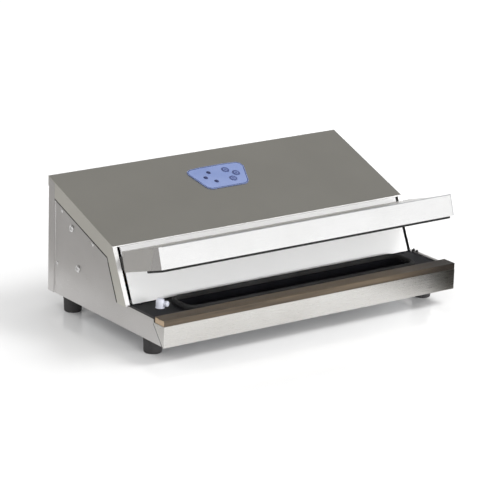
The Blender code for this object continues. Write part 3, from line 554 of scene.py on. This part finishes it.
# ---------------------------------------------------------------- feet
def add_feet():
    for name in ("front_left", "front_right", "rear_left", "rear_right"):
        low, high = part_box(f"foot_{name}")
        centre = (low + high) / 2
        height = high.z - low.z
        profile = (
            (0, height),
            (0.0120, height),
            (0.0124, height - 0.0006),
            (0.0124, height - 0.0028),
            (0.0119, height - 0.0036),
            (0.0113, 0.0018),
            (0.0110, 0.0006),
            (0.0103, 0.0),
            (0.0050, 0.0),
            (0.0045, 0.0005),
            (0.0045, 0.0095),
            (0.0, 0.0095),
        )
        bottom = Vector((centre.x, centre.y, low.z))
        foot = add_piece(f"rubber_foot_{name}", lathe(profile, Matrix.Translation(bottom), 40), "rubber")
        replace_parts(foot, f"foot_{name}")
        screw_head(f"foot_screw_{name}", bottom + Vector((0, 0, 0.0096)), (0, 0, -1), 0.0036, 0.0018)


# ---------------------------------------------------------------- gaskets, strip and tray
GASKET_WIDTH = 0.0065
GASKET_CORNER = 0.018
SEAL_LOW, SEAL_HIGH = -0.0030, 0.0027  # the lid's seals, from its front bottom edge
LID_FRONT_GAP = 0.0008


def loop_path(left, right, front, back):
    """The middle line of a gasket that fills the outline."""
    inset = GASKET_WIDTH / 2
    corner = GASKET_CORNER - inset
    outline = rounded(left + inset, right - inset, front + inset, back - inset, corner, 10)
    return [Vector((x, y, 0)) for x, y in outline]


def gasket_section(low, high, crown_up):
    """A foam section: flat on the side that is glued, crowned on the side that seals."""
    half = GASKET_WIDTH / 2
    height = high - low
    section = [(-half, 0), (half, 0)]
    for step in range(9):
        angle = math.pi * step / 8
        section.append((half * math.cos(angle), height * (0.55 + 0.45 * math.sin(angle))))
    if not crown_up:
        section = [(a, height - b) for a, b in section]
    return [(a, b + low) for a, b in section]


def add_gaskets():
    low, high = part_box("base_gasket")
    path = loop_path(low.x, high.x, low.y, high.y)
    shape = swept(path, gasket_section(low.z, high.z, True), closed=True)
    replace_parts(add_piece("base_foam_gasket", shape, "black_foam"), "base_gasket")
    shift = FRONT + LID_FRONT_GAP
    path = loop_path(low.x, high.x, low.y - shift, high.y - shift)
    shape = swept(path, gasket_section(SEAL_LOW, SEAL_HIGH, False), closed=True)
    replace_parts(add_piece("lid_foam_gasket", shape, "black_foam", "lid", LID), "lid_gasket")


def add_pressure_strip():
    """The black strip under the lid's front edge, with chamfered lower corners."""
    front, back, chamfer = 0.0030, 0.0145, 0.0003
    section = (
        (front, SEAL_HIGH),
        (front, SEAL_LOW + chamfer),
        (front + chamfer, SEAL_LOW),
        (back - chamfer, SEAL_LOW),
        (back, SEAL_LOW + chamfer),
        (back, SEAL_HIGH),
    )
    path = [Vector((x, 0, 0)) for x in (-0.2175, -0.2170, 0.2170, 0.2175)]
    shape = swept(path, [(-depth, height) for depth, height in section])
    strip = add_piece("lid_pressure_strip", shape, "silicone", "lid", LID)
    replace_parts(add_bevel(strip, 0.0003), "pressure_strip")


BUMPERS = ((0.2212, 0.0790, 0.0022), (0.2216, 0.0725, 0.0019))


def add_tray_details():
    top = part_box("vacuum_tray")[1].z
    for number, x in enumerate((-0.205, -0.060, 0.070, 0.205), 1):
        point = Vector((x, FRONT + 0.0815, top - 0.0002))
        screw_head(f"tray_screw_{number}", point, (0, 0, 1), 0.0026, 0.0010, slot="black_plastic")
    for number, (x, depth, radius) in enumerate(BUMPERS, 1):
        dome = [(0, 0.0030), (radius * 0.6, 0.0027), (radius * 0.95, 0.0014), (radius, 0), (0, 0)]
        place = Matrix.Translation((x, FRONT + depth, 0.0500))
        add_piece(f"lid_bumper_{number}", lathe(dome, place, 20), "rubber")
    low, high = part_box("suction_fitting")
    grille = ring(circle(0, 0, 0.0070), circle(0, 0, 0.0030), 0, 0.0008)
    place = Matrix.Translation(((low.x + high.x) / 2, low.y + 0.0072, high.z))
    add_piece("suction_port_filter", grille, "black_foam", "housing", place)


# ---------------------------------------------------------------- control label
LABEL = (
    (-0.0262, 0.0760),
    (-0.0310, 0.0785),
    (-0.0335, 0.0825),
    (-0.0415, 0.1120),
    (-0.0405, 0.1175),
    (-0.0345, 0.1215),
    (-0.0180, 0.1230),
    (0.0220, 0.1235),
    (0.0400, 0.1222),
    (0.0445, 0.1185),
    (0.0456, 0.1120),
    (0.0335, 0.0820),
    (0.0300, 0.0780),
    (0.0255, 0.0762),
)
BUTTON_SPOTS = ((0.0148, 0.1098), (0.0256, 0.1003), (0.0148, 0.0902))
LED_SPOTS = ((-0.0116, 0.1098), (-0.0221, 0.1003), (-0.0116, 0.0902))
LABEL_TOP = 0.0008


def shrunk(outline, distance):
    """A convex outline, listed clockwise, moved inwards."""
    moved = []
    count = len(outline)
    for i, point in enumerate(outline):
        point = Vector(point)
        before = (point - Vector(outline[i - 1])).normalized()
        after = (Vector(outline[(i + 1) % count]) - point).normalized()
        inwards = Vector((before.y, -before.x)) + Vector((after.y, -after.x))
        moved.append(tuple(point + inwards * distance / (1 + before.dot(after))))
    return moved


def add_label_details():
    """The label's dark border, the rings on the buttons and the lamp lenses."""
    border = ring(shrunk(LABEL, 0.0008), shrunk(LABEL, 0.0017), LABEL_TOP, LABEL_TOP + 0.00006)
    add_piece("label_border", border, "dark_lens", "housing", SLOPE)
    for number, (x, along) in enumerate(BUTTON_SPOTS, 1):
        body = f"button_{number}_body"
        rim = ring(circle(x, along, 0.0050), circle(x, along, 0.0028), 0.00138, 0.00148)
        add_piece(f"button_ring_{number}", rim, "icon_blue", body, SLOPE)
        dot = ring(circle(x, along, 0.0018), circle(x, along, 0.0004), 0.00138, 0.00146)
        add_piece(f"button_mark_{number}", dot, "icon_blue", body, SLOPE)
    for number, (x, along) in enumerate(LED_SPOTS, 1):
        lens = [(0, 0.0008), (0.0016, 0.0007), (0.0028, 0.0003), (0.0031, 0), (0, 0)]
        place = SLOPE @ Matrix.Translation((x, along, LABEL_TOP + 0.00005))
        add_piece(f"lamp_lens_{number}", lathe(lens, place, 24), "dark_lens")


# ---------------------------------------------------------------- seams, lid corners and ledge
def side_path(points, side, x):
    """(depth, height) points on the left or right side."""
    return [Vector((side * x, FRONT + depth, height)) for depth, height in points]


def add_seams():
    """Black beads along the side panels' seams as painted shadow lines, wider at the lower bend, and the rear
    wrap's bright hems, half-round to catch the light and in lighter steel as a painted highlight.
    """
    bead = [(-0.0010, 0), (0.0010, 0), (0.0008, 0.0009), (-0.0008, 0.0009)]
    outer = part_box("side_panel_right")[1].x - 0.0001
    flange = ((0.1036, 0.0482), (0.1245, 0.0942), (0.1271, 0.0991), (0.2476, 0.1425))
    front = ((0.0034, 0.0201), (0.0238, 0.0450))
    wide = [(-0.0016, 0), (0.0016, 0), (0.0014, 0.0009), (-0.0014, 0.0009)]
    for side, name in ((-1, "left"), (1, "right")):
        for label, points in (("hood", flange), ("front", front)):
            shape = swept(side_path(points, side, outer), bead, up=Vector((side, 0, 0)))
            add_piece(f"{label}_seam_{name}", shape, "seam_black")
        lower = swept(side_path(flange[:2], side, outer), wide, up=Vector((side, 0, 0)))
        add_piece(f"lower_seam_{name}", lower, "seam_black")
        # rear hems: a half-round bead that catches the light, in lighter steel as a painted highlight along the
        # rear bend
        rear = side_path(((0.2474, 0.0206), (0.2474, 0.1425)), side, outer)
        hem = [(-0.0005, 0), (0.0005, 0), (0.0004, 0.0006), (0, 0.0008), (-0.0004, 0.0006)]
        add_piece(f"rear_highlight_hem_{name}", swept(rear, hem, up=Vector((side, 0, 0))), "bright_steel")


def add_lid_and_ledge_strips():
    """Black pads at the lid's ends, the hems of its front plate in darker zinc steel, the top one as a painted
    shade line, and the foam strip on the left ledge.
    """
    for sign, name in ((-1, "left"), (1, "right")):
        inner, outer = sorted((sign * 0.2146, sign * 0.2222))
        pad = extruded(rounded(inner, outer, 0.0032, 0.0380, 0.0015, 4), -0.0029, 0.0026)
        add_bevel(add_piece(f"lid_end_pad_{name}", pad, "silicone", "lid", LID), 0.0003)
    # painted shade line: a darker zinc strip along the top edge of the lid's front plate
    hem = extruded(rounded(-0.2200, 0.2251, -0.0002, 0.0008, 0.0002, 2), 0.0267, 0.0276)
    add_bevel(add_piece("lid_front_shade_hem", hem, "zinc_steel", "lid", LID), 0.00015)
    # a like darker zinc strip down the right end of the front plate
    end_hem = extruded(rounded(0.2243, 0.2251, -0.0002, 0.0008, 0.0002, 2), 0.0006, 0.0268)
    add_bevel(add_piece("lid_end_hem", end_hem, "zinc_steel", "lid", LID), 0.00015)
    low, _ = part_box("side_panel_left")
    back = FRONT + 0.0808
    front, left, right = FRONT + 0.0248, low.x + 0.0002, -0.2191
    strip = [(left, front), (right, front), (right, back), (left, back)]
    seal = add_piece("ledge_seal_left", extruded(strip, 0.0499, 0.0504), "silicone")
    add_bevel(seal, 0.00015)


def add_nozzle():
    """The white elbow on the tray's left end, with a domed top and a ribbed spigot."""
    x, depth = -0.1920, 0.0575
    top = 0.0616
    body = (
        (0, top),
        (0.0020, top - 0.0001),
        (0.0038, top - 0.0009),
        (0.0050, top - 0.0024),
        (0.0054, top - 0.0040),
        (0.0054, 0.0506),
        (0.0058, 0.0502),
        (0.0058, 0.0494),
        (0.0042, 0.0494),
        (0.0042, 0.0292),
        (0, 0.0292),
    )
    elbow = lathe(body, Matrix.Translation((x, FRONT + depth, 0)), 32)
    piece = add_piece("nozzle_elbow", elbow, "white_plastic")
    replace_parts(piece, "hose_nozzle")
    spigot = (
        (0, 0.0060),
        (0.0014, 0.0060),
        (0.0017, 0.0104),
        (0.0026, 0.0107),
        (0.0036, 0.0098),
        (0.0038, 0.0084),
        (0.0032, 0.0076),
        (0.0036, 0.0068),
        (0.0032, 0.0058),
        (0.0032, 0.0010),
        (0, 0.0010),
    )
    outlet = facing((x, FRONT + depth, 0.0552), (0.60, -0.80, 0))
    add_piece("nozzle_spigot", lathe(spigot, outlet, 28), "white_plastic")
    stub = ((0, 0.0158), (0.0027, 0.0158), (0.0030, 0.0150), (0.0026, 0.0120), (0.0026, 0.0020), (0, 0.0020))
    add_piece("nozzle_stub", lathe(stub, facing((x, FRONT + depth, 0.0322), (0, 1, 0)), 20), "white_plastic")


# ---------------------------------------------------------------- springs
def add_springs():
    """Coils with end hooks, stretched between the spring bolts and the lid's arms."""
    turns, wire, coil = 15, 0.0006, 0.0029
    steps = turns * 14
    across = Vector((1, 0, 0))
    for name in ("left", "right"):
        low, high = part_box(f"lid_spring_{name}")
        x = (low.x + high.x) / 2
        bolt = Vector((x, FRONT + 0.2088, 0.1146))
        arm = LID @ Vector((x, 0.1490, 0.0110))
        along = (bolt - arm).normalized()
        third = along.cross(across)
        start = arm + along * 0.0075
        length = (bolt - arm).length - 0.0160
        coils = []
        for i in range(steps + 1):
            angle = math.tau * turns * i / steps
            around = across * math.cos(angle) + third * math.sin(angle)
            coils.append(start + along * (length * i / steps) + around * coil)
        lower = [arm + third * 0.0026, arm - along * 0.0026, arm - third * 0.0026, arm + along * 0.0040]
        upper = [bolt - along * 0.0046, bolt - third * 0.0036, bolt + along * 0.0036, bolt + third * 0.0036]
        hooks = smooth_route([*lower, coils[0]], 5), smooth_route([coils[-1], *upper], 5)
        path = hooks[0][:-1] + coils + hooks[1][1:]
        shape = swept(path, circle(0, 0, wire, 6), up=Vector((0.3, 0.5, 0.81)))
        piece = add_piece(f"lid_spring_coil_{name}", shape, "bright_steel", None)
        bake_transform(piece)
        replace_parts(piece, f"lid_spring_{name}")


# ---------------------------------------------------------------- stage, light and camera
FLOOR_HALF = 6.0


def flat_sheet(name, low, high, height, material):
    """A flat stage sheet facing up, from (x, y) to (x, y)."""
    shape = bmesh.new()
    corners = ((low[0], low[1]), (high[0], low[1]), (high[0], high[1]), (low[0], high[1]))
    shape.faces.new([shape.verts.new((x, y, height)) for x, y in corners])
    mesh = bpy.data.meshes.new(name)
    shape.to_mesh(mesh)
    shape.free()
    mesh.materials.append(material)
    sheet = bpy.data.objects.new(name, mesh)
    bpy.context.scene.collection.objects.link(sheet)
    return sheet


def reflection_card(name, low, high, height, near, far, axis, span):
    """A one-sided card that only reflections see, its tone running from near to far over an axis span."""
    material = bpy.data.materials.new(name)
    material.use_nodes = True
    tree = material.node_tree
    tree.nodes.clear()
    emission = tree.nodes.new("ShaderNodeEmission")
    output = tree.nodes.new("ShaderNodeOutputMaterial")
    clear = tree.nodes.new("ShaderNodeBsdfTransparent")
    side = tree.nodes.new("ShaderNodeNewGeometry")
    one_sided = tree.nodes.new("ShaderNodeMixShader")
    tree.links.new(side.outputs["Backfacing"], one_sided.inputs["Fac"])
    tree.links.new(emission.outputs["Emission"], one_sided.inputs[1])
    tree.links.new(clear.outputs["BSDF"], one_sided.inputs[2])
    tree.links.new(one_sided.outputs["Shader"], output.inputs["Surface"])
    coordinates = tree.nodes.new("ShaderNodeTexCoord")
    split = tree.nodes.new("ShaderNodeSeparateXYZ")
    tree.links.new(coordinates.outputs["Object"], split.inputs["Vector"])
    ramp = tree.nodes.new("ShaderNodeMapRange")
    ramp.interpolation_type = "SMOOTHSTEP"
    ramp.inputs["From Min"].default_value = span[0]
    ramp.inputs["From Max"].default_value = span[1]
    ramp.inputs["To Min"].default_value = near
    ramp.inputs["To Max"].default_value = far
    tree.links.new(split.outputs[axis], ramp.inputs["Value"])
    tree.links.new(ramp.outputs["Result"], emission.inputs["Strength"])
    emission.inputs["Color"].default_value = (1.0, 0.985, 0.97, 1)
    card = flat_sheet(name, low, high, height, material)
    card.visible_camera = False
    card.visible_diffuse = False
    card.visible_shadow = False
    card.visible_transmission = False
    card.visible_volume_scatter = False


def add_stage():
    paint = Paint("floor", (0.97, 0.97, 0.97), 0.12)
    paint.set("IOR", 2.8)
    paint.link(paint.spread(paint.noise(3.0), 0.09, 0.13), paint.shader.inputs["Roughness"])
    flat_sheet("floor", (-FLOOR_HALF, -FLOOR_HALF), (FLOOR_HALF, FLOOR_HALF), 0.0, paint.material)
    reflection_card("ceiling_card", (7, -7), (-7, 7), 2.6, 0.275, 0.275, "X", (-1, 1))
    reflection_card("left_card", (-3.0, -0.30), (-0.30, 3.0), 0.0006, 0.62, 0.46, "Y", (-0.10, 0.30))
    reflection_card("right_card", (0.180, -0.60), (0.90, -0.165), 0.0006, 0.90, 0.01, "X", (0.180, 0.290))


def add_light(name, location, target, size, power, colour=(1, 1, 1)):
    light = bpy.data.lights.new(name, "AREA")
    light.shape = "RECTANGLE"
    light.size, light.size_y = size
    light.energy = power
    light.color = colour
    lamp = bpy.data.objects.new(name, light)
    lamp.location = location
    lamp.rotation_euler = (Vector(target) - Vector(location)).to_track_quat("-Z", "Y").to_euler()
    lamp.visible_glossy = False
    bpy.context.scene.collection.objects.link(lamp)


def add_world():
    """White all round, with reflections brightest towards the front right."""
    world = bpy.data.worlds.new("studio")
    bpy.context.scene.world = world
    world.use_nodes = True
    tree = world.node_tree
    background = tree.nodes["Background"]
    background.inputs["Color"].default_value = (1, 1, 1, 1)
    coordinates = tree.nodes.new("ShaderNodeTexCoord")
    towards = tree.nodes.new("ShaderNodeVectorMath")
    towards.operation = "DOT_PRODUCT"
    towards.inputs[1].default_value = (0.57, -0.77, 0.28)
    tree.links.new(coordinates.outputs["Generated"], towards.inputs[0])
    soft = tree.nodes.new("ShaderNodeMapRange")
    soft.interpolation_type = "SMOOTHSTEP"
    soft.inputs["From Min"].default_value = 0.70
    soft.inputs["From Max"].default_value = 0.96
    soft.inputs["To Min"].default_value = 0.74
    soft.inputs["To Max"].default_value = 1.06
    tree.links.new(towards.outputs["Value"], soft.inputs["Value"])
    path = tree.nodes.new("ShaderNodeLightPath")
    strength = tree.nodes.new("ShaderNodeMix")
    strength.inputs["A"].default_value = 1.04
    tree.links.new(path.outputs["Is Glossy Ray"], strength.inputs["Factor"])
    tree.links.new(soft.outputs["Result"], strength.inputs["B"])
    tree.links.new(strength.outputs["Result"], background.inputs["Strength"])


CAMERA_AZIMUTH = math.radians(-36.306)
CAMERA_ELEVATION = math.radians(17.439)
CAMERA_ROLL = math.radians(1.796)
CAMERA_TARGET = Vector((-0.00528, FRONT + 0.1310, 0.07289))
CAMERA_DISTANCE = 3.5079
CAMERA_LENS = 198.81


def add_camera():
    a, e, r = CAMERA_AZIMUTH, CAMERA_ELEVATION, CAMERA_ROLL
    back = Vector((math.sin(a) * math.cos(e), -math.cos(a) * math.cos(e), math.sin(e)))
    right = Vector((math.cos(a), math.sin(a), 0))
    up = back.cross(right)
    rolled_right = right * math.cos(r) + up * math.sin(r)
    rolled_up = up * math.cos(r) - right * math.sin(r)
    data = bpy.data.cameras.new("camera")
    data.lens = CAMERA_LENS
    data.clip_end = 50
    camera = bpy.data.objects.new("camera", data)
    turn = Matrix((rolled_right, rolled_up, back)).transposed().to_4x4()
    camera.matrix_world = Matrix.Translation(CAMERA_TARGET + back * CAMERA_DISTANCE) @ turn
    bpy.context.scene.collection.objects.link(camera)
    bpy.context.scene.camera = camera
    bpy.context.scene.view_settings.view_transform = "Standard"


add_camera()
add_stage()
add_world()
add_light("key", (1.6, -0.9, 2.2), (0, 0, 0.05), (1.2, 1.0), 40)
add_light("fill", (0.9, -2.6, 0.55), (0, 0, 0.06), (1.8, 0.7), 46)
paint_frame()
add_side_screws()
add_rear_details()
add_feet()
add_gaskets()
add_pressure_strip()
add_tray_details()
add_label_details()
add_seams()
add_lid_and_ledge_strips()
add_nozzle()
add_springs()
